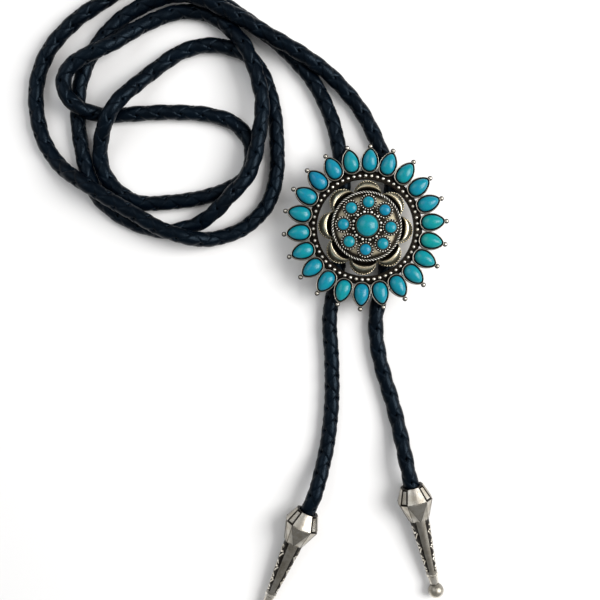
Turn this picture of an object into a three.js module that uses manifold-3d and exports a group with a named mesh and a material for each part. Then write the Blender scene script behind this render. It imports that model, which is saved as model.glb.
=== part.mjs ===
// Bolo tie: a turquoise sunburst concho on a braided leather cord with two metal tips, laid face
// up on a table. Millimetres, +Z up. The origin is on the table under the middle of the concho,
// +Y points along the concho towards the neck loop, and +X to its right.
import * as THREE from "three";
import { mergeVertices } from "three/addons/utils/BufferGeometryUtils.js";
import Module from "manifold-3d";

const wasm = await Module();
wasm.setup();

// Fits
const PIECE_GAP = 0.3; // between pieces that touch on the real tie
const STONE_GAP = 0.25; // round and under each stone in its cup
const TABLE_LIFT = 0.05; // what rests on the table stands this far clear of it
const JOIN = 0.12; // how far soldered parts run into each other
const CUT_OVER = 1; // how far a cut runs past the face it opens

// Cord
const CORD_R = 2.15;
const CORD_SIDES = 8;
const CORD_SOCKET = 5.0; // how far each end runs into its tip
const CORD_LIFT = 5.0; // length of cord in line with the tip outside its mouth

// Slide clip, hidden under the concho
const CLIP_SHEET = 0.8;
const CLIP_LENGTH = 12;
const CLIP_SPACING = 14; // between the two channels
const CLIP_CORNER = 2.2;
const CHANNEL_R = CORD_R + PIECE_GAP;
const CLIP_HEIGHT = 2 * (CHANNEL_R + CLIP_SHEET);
const CLIP_HALF = CLIP_SPACING / 2 + CHANNEL_R + CLIP_SHEET;

// Ring of the concho
const BACK_Z = CLIP_HEIGHT + PIECE_GAP;
const PLATE_T = 1.0;
const PLATE_TOP = BACK_Z + PLATE_T;
const CUP_COUNT = 22;
const CUP_ROW_R = 19.45;
const CUP_LONG = 3.7; // half length
const RING_OUT = CUP_ROW_R - CUP_LONG + 4 * JOIN;
const RING_WIDE = 2.2;
const RING_IN = RING_OUT - RING_WIDE;
const RING_SIDES = 40;
const GRAIN_R = 0.475; // grain beads round the inner edge
const GRAIN_ROW_R = RING_IN + RING_WIDE / 2;

// Cups and pear stones
const CUP_WIDE = 2.62; // half width
const CUP_WALL = 0.36;
const CUP_DEPTH = 1.3;
const CUP_RIM_Z = PLATE_TOP + CUP_DEPTH;
const CUP_POINT = 0.2; // how much the outer end narrows
const PEAR_LONG = CUP_LONG - CUP_WALL - STONE_GAP;
const PEAR_WIDE = CUP_WIDE - CUP_WALL - STONE_GAP;
const PEAR_GIRDLE = 1.1;
const PEAR_DOME = 1.35;
const CUP_SIDES = 12;
const BALL_R = 0.66; // ball soldered on the outer point
const BALL_ROW_R = CUP_ROW_R + CUP_LONG + BALL_R - JOIN;

// Petals and hub
const PETAL_COUNT = 8;
const PETAL_SIDES = 12;
const PETAL_ROW_R = 9.3;
const PETAL_OUT = RING_IN + 3 * JOIN - PETAL_ROW_R;
const PETAL_WIDE = 3.9;
const PETAL_EDGE = 0.8; // thickness at the outline
const PETAL_SHOULDER = 1.9;
const PETAL_RISE = 3.6; // crest above the ring plate
const PETAL_DISH = 1.0; // depth behind the crest
const HUB_R = 8.6;
const HUB_TOP = PLATE_TOP + PETAL_RISE + PIECE_GAP;
const HUB_SIDES = 16;

// Medallion
const MEDAL_Z = HUB_TOP + PIECE_GAP;
const MEDAL_R = 9.75;
const MEDAL_SIDES = 36;
const MEDAL_EDGE = 0.9;
const MEDAL_RISE = 0.6; // from the edge to the middle
const MEDAL_EDGE_Z = MEDAL_Z + MEDAL_EDGE;
const MEDAL_TOP = MEDAL_EDGE_Z + MEDAL_RISE;
const ROPE_R = 0.4;
const ROPE_SINK = 0.03; // the rope's middle inside the plate's edge
const ROUND_COUNT = 8;
const ROUND_INSET = 3.0; // from the plate's edge to the row of round stones
const ROUND_ROW_R = MEDAL_R - ROUND_INSET;
const ROUND_R = 1.55;
const CENTRE_R = 3.07;
const BEZEL_WALL = 0.2;
const FOOT_Z = MEDAL_Z + MEDAL_EDGE / 2; // the seats' feet stand inside the plate
const STONE_SINK = 0.1; // the stone's girdle below its rim
// Seats: floor and rim above the plate's edge, thickness of the beads of the collar
const ROUND_SEAT = { floor: 0.5, rim: 1.2, collar: 0.24, dome: 0.8, sides: 12 };
const CENTRE_SEAT = { floor: 1.0, rim: 2.0, collar: 0.41, dome: 1.9, sides: 20 };

// Tips: distances run from the mouth along the axis. The bead is square with its corners cut off,
// so each of its rings has a distance from the axis to the wide facets and their half width.
const TIP_MOUTH = { flat: 3.0, half: 1.6 };
const TIP_WAIST = { flat: 4.7, half: 2.85 };
const TIP_GIRDLE = 4.2;
const TIP_BEAD_END = 10.3;
const TIP_NECK_R = 2.95;
const TIP_END_R = 1.3;
const TIP_BALL_R = 2.3;
const TIP_BALL = 32.7;
const TIP_BAND = 27.4; // smooth band before the ball
const TIP_STEP = 0.15;
const CONE_SIDES = 14;
const SOCKET_R = CORD_R + PIECE_GAP;
const SOCKET_DEPTH = CORD_SOCKET + PIECE_GAP;
const TIP_PITCH = Math.asin((TIP_WAIST.flat - TIP_BALL_R) / (TIP_BALL - TIP_GIRDLE));
const TIP_MOUTH_Z =
  TABLE_LIFT + TIP_WAIST.flat * Math.cos(TIP_PITCH) + TIP_GIRDLE * Math.sin(TIP_PITCH);
const LEFT_TIP = { x: -11.5, y: -84.0, heading: -109.9 };
const RIGHT_TIP = { x: 18.5, y: -74.6, heading: -72.9 };

const SILVER = { color: 0xb9b4a6, roughness: 0.32, metalness: 1 };
const BRASS = { color: 0xa39a7c, roughness: 0.35, metalness: 1 };
const STEEL = { color: 0xb4b7ba, roughness: 0.35, metalness: 1 };
const TURQUOISE = { color: 0x1ea5b9, roughness: 0.25, metalness: 0 };
const LEATHER = { color: 0x14181f, roughness: 0.45, metalness: 0 };

const group = new THREE.Group();

// A closed geometry as a solid that can be joined and cut.
function solid(geometry) {
  const bare = geometry.clone();
  bare.deleteAttribute("normal");
  bare.deleteAttribute("uv");
  const merged = mergeVertices(bare, 1e-4);
  return new wasm.Manifold(
    new wasm.Mesh({
      numProp: 3,
      vertProperties: merged.attributes.position.array,
      triVerts: new Uint32Array(merged.index.array),
    }),
  );
}

function geometryOf(made) {
  const mesh = made.getMesh();
  const geometry = new THREE.BufferGeometry();
  geometry.setAttribute("position", new THREE.BufferAttribute(mesh.vertProperties, 3));
  geometry.setIndex(new THREE.BufferAttribute(mesh.triVerts, 1));
  return geometry.toNonIndexed();
}

function join(geometries) {
  return geometries.map(solid).reduce((a, b) => a.add(b));
}

// Adds one named piece. Flat shading keeps each facet as it is in the solid.
function piece(name, geometry, look, matrix = new THREE.Matrix4()) {
  const shape = geometry.clone().applyMatrix4(matrix);
  shape.computeVertexNormals();
  const mesh = new THREE.Mesh(shape, new THREE.MeshStandardMaterial(look));
  mesh.name = name;
  group.add(mesh);
}

// A closed skin through rings of points, counter-clockwise from above and listed from the bottom
// up. A ring of one point closes an end.
function loft(rings) {
  const at = [];
  const face = (a, b, c) => at.push(...a.toArray(), ...b.toArray(), ...c.toArray());
  for (let r = 0; r + 1 < rings.length; r++) {
    const [low, high] = [rings[r], rings[r + 1]];
    const n = Math.max(low.length, high.length);
    for (let i = 0; i < n; i++) {
      const j = (i + 1) % n;
      if (low.length === 1) face(low[0], high[j], high[i]);
      else if (high.length === 1) face(low[i], low[j], high[0]);
      else {
        face(low[i], low[j], high[j]);
        face(low[i], high[j], high[i]);
      }
    }
  }
  const geometry = new THREE.BufferGeometry();
  geometry.setAttribute("position", new THREE.Float32BufferAttribute(at, 3));
  return geometry;
}

// A body turned about Z from [radius, height] pairs that start and end on the axis.
function turned(profile, sides) {
  const points = profile.map(([r, z]) => new THREE.Vector2(r, z));
  return new THREE.LatheGeometry(points, sides).rotateX(Math.PI / 2);
}

const degrees = THREE.MathUtils.degToRad;

// Where the nth of count pieces in a row round the concho stands, the first at the top.
function onRow(radius, n, count) {
  const turn = new THREE.Matrix4().makeRotationZ((-2 * Math.PI * n) / count);
  return turn.multiply(new THREE.Matrix4().makeTranslation(0, radius, 0));
}

// A pear outline at one height, its narrow end towards +Y.
function pear(long, wide, z) {
  return Array.from({ length: CUP_SIDES }, (_, i) => {
    const t = Math.PI / 2 + (2 * Math.PI * i) / CUP_SIDES;
    const out = Math.sin(t);
    const narrow = 1 - CUP_POINT * 0.5 * (out + out * Math.abs(out));
    return new THREE.Vector3(wide * Math.cos(t) * narrow, long * out, z);
  });
}

const point = (z, y = 0) => [new THREE.Vector3(0, y, z)];

function pearCup() {
  const [long, wide] = [CUP_LONG - CUP_WALL, CUP_WIDE - CUP_WALL];
  return loft([
    point(BACK_Z),
    pear(CUP_LONG, CUP_WIDE, BACK_Z),
    pear(CUP_LONG, CUP_WIDE, CUP_RIM_Z),
    pear(long, wide, CUP_RIM_Z),
    pear(long, wide, PLATE_TOP),
    point(PLATE_TOP),
  ]);
}

function pearStone() {
  const bottom = PLATE_TOP + STONE_GAP;
  const girdle = bottom + PEAR_GIRDLE;
  return loft([
    point(bottom),
    pear(PEAR_LONG, PEAR_WIDE, bottom),
    pear(PEAR_LONG, PEAR_WIDE, girdle),
    pear(PEAR_LONG * 0.78, PEAR_WIDE * 0.76, girdle + PEAR_DOME * 0.66),
    pear(PEAR_LONG * 0.4, PEAR_WIDE * 0.4, girdle + PEAR_DOME * 0.94),
    point(girdle + PEAR_DOME),
  ]);
}

// One petal: an oval loaf whose crest follows its outline, dished where the medallion covers it.
function petal() {
  const crest = PLATE_TOP + PETAL_RISE;
  const ring = (long, wide, z) =>
    Array.from({ length: PETAL_SIDES }, (_, i) => {
      const t = (2 * Math.PI * i) / PETAL_SIDES;
      return new THREE.Vector3(wide * Math.cos(t), long * Math.sin(t), z);
    });
  return loft([
    point(BACK_Z),
    ring(PETAL_OUT, PETAL_WIDE, BACK_Z),
    ring(PETAL_OUT, PETAL_WIDE, BACK_Z + PETAL_EDGE),
    ring(PETAL_OUT * 0.72, PETAL_WIDE * 0.94, PLATE_TOP + PETAL_SHOULDER),
    ring(PETAL_OUT * 0.46, PETAL_WIDE * 0.8, crest),
    ring(PETAL_OUT * 0.3, PETAL_WIDE * 0.58, crest - PETAL_DISH * 0.9),
    point(crest - PETAL_DISH),
  ]);
}

function conchoBody() {
  const ring = turned(
    [
      [RING_IN, BACK_Z],
      [RING_OUT, BACK_Z],
      [RING_OUT, PLATE_TOP],
      [GRAIN_ROW_R + GRAIN_R, PLATE_TOP],
      [GRAIN_ROW_R + GRAIN_R * 0.6, PLATE_TOP + GRAIN_R],
      [GRAIN_ROW_R - GRAIN_R * 0.6, PLATE_TOP + GRAIN_R],
      [GRAIN_ROW_R - GRAIN_R, PLATE_TOP],
      [RING_IN, PLATE_TOP],
      [RING_IN, BACK_Z],
    ],
    RING_SIDES,
  );
  const hub = turned(
    [
      [0, BACK_Z],
      [HUB_R, BACK_Z],
      [HUB_R, HUB_TOP],
      [0, HUB_TOP],
    ],
    HUB_SIDES,
  );
  const parts = [ring, hub];
  for (let i = 0; i < CUP_COUNT; i++) {
    parts.push(pearCup().applyMatrix4(onRow(CUP_ROW_R, i, CUP_COUNT)));
    const ball = new THREE.IcosahedronGeometry(BALL_R, 1).translate(0, 0, BACK_Z + BALL_R + JOIN);
    parts.push(ball.applyMatrix4(onRow(BALL_ROW_R, i, CUP_COUNT)));
  }
  for (let i = 0; i < PETAL_COUNT; i++)
    parts.push(petal().applyMatrix4(onRow(PETAL_ROW_R, i, PETAL_COUNT)));
  return geometryOf(join(parts));
}

// A round cup with a raised collar round its foot.
function roundCup(stoneR, seat) {
  const [floor, rim] = [MEDAL_EDGE_Z + seat.floor, MEDAL_EDGE_Z + seat.rim];
  const inner = stoneR + STONE_GAP;
  const outer = inner + BEZEL_WALL;
  const foot = outer + 2 * seat.collar - JOIN;
  return turned(
    [
      [0, FOOT_Z],
      [foot, FOOT_Z],
      [foot, floor],
      [foot - seat.collar * 0.6, floor + seat.collar],
      [outer, floor + seat.collar],
      [outer, rim],
      [inner, rim],
      [inner, floor],
      [0, floor],
    ],
    seat.sides,
  );
}

function cabochon(stoneR, seat) {
  const [bottom, rim] = [MEDAL_EDGE_Z + seat.floor + STONE_GAP, MEDAL_EDGE_Z + seat.rim];
  return turned(
    [
      [0, bottom],
      [stoneR, bottom],
      [stoneR, rim - STONE_SINK],
      [stoneR * 0.8, rim + seat.dome * 0.6],
      [stoneR * 0.42, rim + seat.dome * 0.92],
      [0, rim + seat.dome],
    ],
    seat.sides,
  );
}

function medallion() {
  const plate = turned(
    [
      [0, MEDAL_Z],
      [MEDAL_R, MEDAL_Z],
      [MEDAL_R, MEDAL_EDGE_Z],
      [MEDAL_R * 0.62, MEDAL_TOP - MEDAL_RISE * 0.37],
      [0, MEDAL_TOP],
    ],
    MEDAL_SIDES,
  );
  const rope = new THREE.TorusGeometry(MEDAL_R - ROPE_SINK, ROPE_R, 6, MEDAL_SIDES);
  const parts = [plate, rope.translate(0, 0, MEDAL_EDGE_Z), roundCup(CENTRE_R, CENTRE_SEAT)];
  for (let i = 0; i < ROUND_COUNT; i++)
    parts.push(roundCup(ROUND_R, ROUND_SEAT).applyMatrix4(onRow(ROUND_ROW_R, i, ROUND_COUNT)));
  return geometryOf(join(parts));
}

// Sheet metal clip: a flat box with rounded corners and a round channel for each strand.
function slideClip() {
  const [half, c] = [CLIP_HALF, CLIP_CORNER];
  const outline = new THREE.Shape();
  outline.absarc(half - c, CLIP_HEIGHT - c, c, 0, Math.PI / 2);
  outline.absarc(c - half, CLIP_HEIGHT - c, c, Math.PI / 2, Math.PI);
  outline.absarc(c - half, c, c, Math.PI, 1.5 * Math.PI);
  outline.absarc(half - c, c, c, 1.5 * Math.PI, 2 * Math.PI);
  outline.closePath();
  for (const side of [-1, 1])
    outline.holes.push(
      new THREE.Path().absarc((side * CLIP_SPACING) / 2, CLIP_HEIGHT / 2, CHANNEL_R, 0, 2 * Math.PI, true),
    );
  const inner = CLIP_SPACING / 2 - CHANNEL_R - CLIP_SHEET;
  const slot = new THREE.Path();
  slot.moveTo(-inner, CLIP_SHEET).lineTo(-inner, CLIP_HEIGHT - CLIP_SHEET);
  slot.lineTo(inner, CLIP_HEIGHT - CLIP_SHEET).lineTo(inner, CLIP_SHEET).closePath();
  outline.holes.push(slot);
  const options = { depth: CLIP_LENGTH, bevelEnabled: false, curveSegments: 7 };
  return new THREE.ExtrudeGeometry(outline, options)
    .rotateX(Math.PI / 2)
    .translate(0, CLIP_LENGTH / 2, 0);
}

// A cord tip along +Z from its mouth: faceted bead, engraved cone, smooth band and ball.
function tip() {
  const ring = (r, z, angleOf) =>
    Array.from({ length: 8 }, (_, i) => {
      const t = angleOf(i);
      return new THREE.Vector3(r * Math.cos(t), r * Math.sin(t), z);
    });
  const square = ({ flat, half }, z) => {
    const lean = (Math.atan2(half, flat) * 4) / Math.PI; // in eighths of a turn
    const corner = (i) => (Math.PI / 4) * (i % 2 ? i - 1 + lean : i - lean);
    return ring(Math.hypot(flat, half), z, corner);
  };
  const bead = loft([
    point(0),
    square(TIP_MOUTH, 0),
    square(TIP_WAIST, TIP_GIRDLE),
    ring(TIP_NECK_R, TIP_BEAD_END, (i) => (Math.PI / 4) * (i - 1)),
    point(TIP_BEAD_END),
  ]);
  const taper = (z) =>
    THREE.MathUtils.mapLinear(z, TIP_BEAD_END, TIP_BALL - TIP_BALL_R, TIP_NECK_R, TIP_END_R);
  const cone = turned(
    [
      [0, TIP_GIRDLE],
      [TIP_NECK_R, TIP_GIRDLE],
      [TIP_NECK_R, TIP_BEAD_END],
      [taper(TIP_BAND), TIP_BAND],
      [taper(TIP_BAND) - TIP_STEP, TIP_BAND + TIP_STEP],
      [TIP_END_R, TIP_BALL - TIP_BALL_R],
      [TIP_END_R, TIP_BALL],
      [0, TIP_BALL],
    ],
    CONE_SIDES,
  );
  const ball = new THREE.SphereGeometry(TIP_BALL_R, 12, 8).rotateX(Math.PI / 2).translate(0, 0, TIP_BALL);
  const socket = turned(
    [
      [0, -CUT_OVER],
      [SOCKET_R, -CUT_OVER],
      [SOCKET_R, SOCKET_DEPTH],
      [0, SOCKET_DEPTH],
    ],
    16,
  );
  return geometryOf(join([bead, cone, ball]).subtract(solid(socket)));
}

// A tip lies with its girdle and its ball on the table, its mouth at x, y.
function tipPlace({ x, y, heading }) {
  const lie = new THREE.Matrix4().makeRotationY(Math.PI / 2 + TIP_PITCH);
  const turn = new THREE.Matrix4().makeRotationZ(degrees(heading));
  return new THREE.Matrix4().makeTranslation(x, y, TIP_MOUTH_Z).multiply(turn).multiply(lie);
}

// The cord's ends follow the tips: [inside the socket, at the mouth, outside in line].
function cordEnd(place) {
  return [CORD_SOCKET, 0, -CORD_LIFT].map((z) => new THREE.Vector3(0, 0, z).applyMatrix4(tipPlace(place)));
}

// The cord's centreline from the left tip to the right one, [x, y, z], by stretch.
const CHANNEL_Z = CLIP_HEIGHT / 2;
const CHANNEL_X = CLIP_SPACING / 2;
const LEFT_TAIL = [
  [-8.6, -74.4, 4.7], [-7.6, -69.4, 3.2], [-6.8, -64.0, 2.35], [-6.3, -52.1, 2.25],
  [-7.1, -39.4, 2.25],
  [-8.5, -26.4, 2.4], [-7.1, -14.0, 3.15],
];
const LEFT_CHANNEL = [[-CHANNEL_X, -6.0, CHANNEL_Z], [-CHANNEL_X, 6.0, CHANNEL_Z]];
const NECK_AND_OUTER_LOOP = [
  [-7.1, 14.0, 3.15], [-8.7, 22.4, 2.6], [-11.4, 31.5, 2.25], [-16.4, 40.9, 2.25],
  [-19.6, 45.0, 2.25], [-27.1, 52.1, 2.25], [-38.6, 59.9, 2.25], [-51.8, 67.1, 2.25],
  [-59.7, 69.3, 2.25], [-68.7, 69.3, 2.25], [-76.8, 66.1, 2.25], [-83.4, 61.3, 2.25],
  [-89.0, 56.9, 2.25], [-96.8, 47.0, 2.25], [-99.8, 35.4, 2.25], [-97.2, 21.7, 2.25],
  [-92.0, 14.0, 2.6],
];
const OVER_THE_BUNDLE = [
  [-86.9, 10.2, 5.0], [-81.4, 7.2, 7.0], [-75.1, 3.7, 6.9], [-67.8, 0.1, 6.9],
  [-59.7, -3.9, 6.9], [-51.6, -6.0, 6.5], [-48.1, -6.2, 4.6], [-44.5, -5.7, 2.9],
];
const FIRST_LOOP = [
  [-36.2, -2.3, 2.25], [-29.9, 4.1, 2.25], [-27.8, 9.1, 2.25], [-26.9, 15.6, 2.25],
  [-27.2, 21.9, 2.25], [-29.0, 34.0, 2.25], [-33.0, 44.2, 2.25], [-36.4, 48.3, 2.25],
  [-40.5, 50.6, 2.25], [-49.1, 51.7, 2.25], [-57.3, 49.2, 2.25], [-65.7, 42.6, 2.5],
  [-69.4, 38.6, 4.1], [-73.0, 34.2, 6.4], [-75.4, 30.4, 7.6], [-77.2, 26.7, 7.2],
  [-78.6, 23.0, 5.3], [-79.4, 19.6, 3.2], [-79.5, 16.2, 2.35],
];
const INNER_STRAND = [
  [-77.7, 11.3, 2.25], [-73.8, 6.9, 2.25], [-67.5, 3.8, 2.25], [-58.6, 4.3, 2.25],
  [-46.9, 6.9, 2.25], [-39.6, 10.2, 2.25], [-36.4, 12.9, 2.25], [-34.9, 16.4, 2.25],
  [-35.2, 23.0, 2.25], [-40.0, 28.7, 2.25], [-47.8, 31.0, 2.25], [-59.1, 31.1, 2.25],
  [-65.6, 30.5, 2.25], [-75.8, 29.2, 2.35],
];
const HAIRPIN = [
  [-80.2, 28.8, 3.6], [-83.4, 29.2, 5.5], [-86.4, 30.4, 6.9], [-89.2, 33.0, 7.1],
  [-90.4, 36.6, 7.1], [-89.6, 40.2, 7.1], [-87.0, 43.2, 7.1], [-82.7, 46.0, 7.1],
  [-78.7, 48.2, 6.8], [-75.6, 50.6, 5.6], [-72.8, 53.2, 4.2], [-69.6, 55.9, 2.9],
];
const SECOND_LOOP = [
  [-61.2, 60.3, 2.25], [-55.4, 61.3, 2.25], [-49.3, 60.4, 2.5], [-45.1, 57.9, 3.4],
  [-41.8, 54.8, 5.1], [-38.6, 51.1, 6.8], [-36.5, 47.5, 7.1], [-34.8, 43.8, 7.0],
  [-32.3, 35.1, 6.9], [-32.6, 25.1, 6.9], [-34.2, 15.5, 6.9], [-36.3, 11.2, 6.9],
  [-39.8, 7.1, 6.9], [-43.2, 3.1, 5.8], [-46.8, 0.0, 4.0], [-50.1, -1.9, 2.6],
  [-57.5, -4.2, 2.25], [-65.4, -3.4, 2.25], [-73.3, -0.2, 2.25], [-79.7, 5.0, 2.25],
];
const UP_THE_LEFT = [
  [-83.0, 11.4, 2.25], [-85.1, 18.3, 2.25], [-86.8, 27.1, 2.25], [-87.1, 36.0, 2.25],
  [-84.9, 44.8, 2.25], [-80.7, 52.3, 2.25], [-75.0, 58.6, 2.25], [-66.8, 63.6, 2.6],
  [-61.9, 64.9, 4.2], [-56.8, 64.9, 6.0], [-51.8, 63.7, 7.0], [-46.8, 61.8, 7.4],
];
const BACK_TO_NECK = [
  [-41.1, 59.3, 7.3], [-35.4, 56.4, 7.0], [-30.0, 53.7, 6.9], [-25.5, 51.5, 6.9],
  [-21.3, 49.4, 6.5], [-16.7, 47.0, 5.0], [-12.2, 44.2, 3.3], [-3.5, 35.6, 2.25],
  [2.7, 25.2, 2.5], [7.1, 14.0, 3.15],
];
const RIGHT_CHANNEL = [[CHANNEL_X, 6.0, CHANNEL_Z], [CHANNEL_X, -6.0, CHANNEL_Z]];
const RIGHT_TAIL = [
  [6.9, -14.0, 3.15], [5.2, -26.1, 2.4], [6.8, -37.0, 2.25], [11.7, -51.0, 2.3],
  [14.0, -58.2, 3.0], [15.7, -64.6, 4.6],
];
const ROUTE = [
  ...cordEnd(LEFT_TIP),
  ...[
    LEFT_TAIL, LEFT_CHANNEL, NECK_AND_OUTER_LOOP, OVER_THE_BUNDLE, FIRST_LOOP, INNER_STRAND,
    HAIRPIN, SECOND_LOOP, UP_THE_LEFT, BACK_TO_NECK, RIGHT_CHANNEL, RIGHT_TAIL,
  ].flat().map((p) => new THREE.Vector3(...p)),
  ...cordEnd(RIGHT_TIP).reverse(),
];

// A curve that takes its steps at the route's own points, which stand closer where the cord bends.
class RouteCurve extends THREE.CatmullRomCurve3 {
  getUtoTmapping(u) {
    return u;
  }
}

function cord() {
  const section = new THREE.Shape();
  for (let i = 0; i < CORD_SIDES; i++) {
    const t = (2 * Math.PI * i) / CORD_SIDES;
    const corner = [CORD_R * Math.cos(t), CORD_R * Math.sin(t)];
    if (i === 0) section.moveTo(...corner);
    else section.lineTo(...corner);
  }
  section.closePath();
  const extrudePath = new RouteCurve(ROUTE);
  return new THREE.ExtrudeGeometry(section, { steps: ROUTE.length - 1, extrudePath });
}

piece("concho_body", conchoBody(), SILVER);
piece("medallion", medallion(), BRASS);
for (let i = 0; i < CUP_COUNT; i++) {
  const name = `pear_stone_${String(i + 1).padStart(2, "0")}`;
  piece(name, pearStone(), TURQUOISE, onRow(CUP_ROW_R, i, CUP_COUNT));
}
for (let i = 0; i < ROUND_COUNT; i++) {
  const place = onRow(ROUND_ROW_R, i, ROUND_COUNT);
  piece(`round_stone_${i + 1}`, cabochon(ROUND_R, ROUND_SEAT), TURQUOISE, place);
}
piece("centre_stone", cabochon(CENTRE_R, CENTRE_SEAT), TURQUOISE);
piece("slide_clip", slideClip(), STEEL);
piece("cord", cord(), LEATHER);
piece("tip_left", tip(), SILVER, tipPlace(LEFT_TIP));
piece("tip_right", tip(), SILVER, tipPlace(RIGHT_TIP));

export default group;
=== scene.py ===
"""Bolo tie: a turquoise sunburst concho on a braided leather cord with two metal tips.

Everything is in metres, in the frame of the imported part: the origin is on the table under the
middle of the concho, +Y points towards the neck loop, +X to its right and +Z up.
"""

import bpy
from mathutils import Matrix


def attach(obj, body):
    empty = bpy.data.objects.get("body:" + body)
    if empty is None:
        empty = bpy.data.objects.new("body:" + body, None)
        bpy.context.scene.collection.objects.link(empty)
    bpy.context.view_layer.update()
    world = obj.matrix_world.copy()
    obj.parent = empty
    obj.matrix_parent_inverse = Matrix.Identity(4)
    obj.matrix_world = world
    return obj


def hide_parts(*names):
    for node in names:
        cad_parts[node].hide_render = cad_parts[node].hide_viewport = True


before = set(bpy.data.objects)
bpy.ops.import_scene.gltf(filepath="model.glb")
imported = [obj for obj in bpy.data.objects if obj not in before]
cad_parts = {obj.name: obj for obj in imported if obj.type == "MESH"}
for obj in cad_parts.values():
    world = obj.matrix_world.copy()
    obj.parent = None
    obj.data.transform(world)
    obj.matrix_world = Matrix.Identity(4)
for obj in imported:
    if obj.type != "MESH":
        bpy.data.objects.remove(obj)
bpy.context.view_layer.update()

import logging
import math
from dataclasses import dataclass, field
from enum import Enum
from typing import Any, Sequence

import bmesh
import bpy
import numpy as np
from mathutils import Matrix, Vector

LOG = logging.getLogger("bolo_tie")
BODY = "root"
MM = 0.001
TURN = 2 * math.pi
PATINA_AND_SHADE = "patina"  # 0 where rubbing keeps metal bright, 1 deep in a recess; on the stones, the cord and the tips' stripes and wide flats it is painted shade
TONE = "tone"  # 0 for a blue stone, 1 for a green one
NOISE_BAND = (0.3, 0.7)  # where nearly all values of a noise texture lie

Point = tuple[float, float, float]
Colour = tuple[float, float, float, float]
Pair = tuple[float, float]
Material = bpy.types.Material
Node = bpy.types.Node
Object = bpy.types.Object
Socket = bpy.types.NodeSocket
Tree = bpy.types.NodeTree


class Slot(Enum):
    """The material slots."""

    SILVER = "antique_silver"
    BRASS = "antique_brass"
    STONE = "turquoise"
    STEEL = "clip_steel"
    LEATHER = "cord_leather"


class Hand(Enum):
    """The way a strand winds round its path."""

    RIGHT = 1
    LEFT = -1


# --- Node trees ---


class Desk:
    """A node tree while it is wired."""

    def __init__(self, tree: Tree) -> None:
        """Takes the tree that the nodes go into."""
        self.tree = tree

    def node(self, kind: str, inputs: dict | None = None, **settings: Any) -> Node:
        """Adds one node.

        Args:
            kind: Blender's name for the node type.
            inputs: values or sockets by input name or number.
            settings: the node's own properties.

        Returns:
            The new node.
        """
        made = self.tree.nodes.new(kind)
        for name, value in settings.items():
            setattr(made, name, value)
        for key, value in (inputs or {}).items():
            self.feed(made, key, value)
        return made

    def feed(self, node: Node, key: str | int, value: Any) -> None:
        """Links a socket to one of a node's inputs, or sets the input to a plain value."""
        if isinstance(value, Socket):
            self.tree.links.new(value, node.inputs[key])
        else:
            node.inputs[key].default_value = value

    def math(self, operation: str, *values: Any, clamp: bool = False) -> Socket:
        """Adds a Math node and returns its output."""
        inputs = dict(enumerate(values))
        return self.node("ShaderNodeMath", inputs, operation=operation, use_clamp=clamp).outputs[0]

    def vector(self, operation: str, *values: Any, scale: Any = None) -> Socket:
        """Adds a Vector Math node and returns its output, the number for a distance."""
        inputs: dict = dict(enumerate(values))
        if scale is not None:
            inputs["Scale"] = scale
        made = self.node("ShaderNodeVectorMath", inputs, operation=operation)
        return made.outputs["Value" if operation == "DISTANCE" else "Vector"]

    def noise(self, where: Socket, scale: float, detail: float = 3.0, rough: float = 0.55) -> Socket:
        """Adds a noise texture and returns its value."""
        inputs = {"Vector": where, "Scale": scale, "Detail": detail, "Roughness": rough}
        return self.node("ShaderNodeTexNoise", inputs).outputs[0]

    def blend(self, share: Any, first: Any, second: Any) -> Socket:
        """Mixes two colours and returns the result."""
        return self.node("ShaderNodeMix", {0: share, 6: first, 7: second}, data_type="RGBA").outputs[2]

    def span(self, value: Any, low: Any, high: Any, start: float, end: float) -> Socket:
        """Maps a value from low..high to start..end, clamped."""
        inputs = {0: value, 1: low, 2: high, 3: start, 4: end}
        return self.node("ShaderNodeMapRange", inputs).outputs[0]

    def where(self) -> Socket:
        """The place on the piece, in metres."""
        return self.node("ShaderNodeTexCoord").outputs["Object"]

    def attribute(self, name: str) -> Socket:
        """A number that the mesh carries."""
        return self.node("ShaderNodeAttribute", attribute_name=name).outputs["Fac"]

    def drift(self, value: Socket, noise: Socket, amount: float, clamp: bool = False) -> Socket:
        """Moves a value up and down by a share of a noise, which is about 0.5."""
        return self.math("MULTIPLY_ADD", self.math("SUBTRACT", noise, 0.5), amount, value, clamp=clamp)

    def bump(self, shader: Node, height: Socket, depth: float, strength: float) -> None:
        """Gives a shader fine relief, its depth in metres."""
        inputs = {"Height": height, "Distance": depth, "Strength": strength}
        self.feed(shader, "Normal", self.node("ShaderNodeBump", inputs).outputs[0])


# --- Finishes ---


def blank_material(name: str) -> tuple[Material, Desk, Node]:
    """A new node material, its desk and its main shader."""
    material = bpy.data.materials.new(name)
    material.use_nodes = True
    desk = Desk(material.node_tree)
    shader = next(n for n in material.node_tree.nodes if n.type == "BSDF_PRINCIPLED")
    return material, desk, shader


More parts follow.
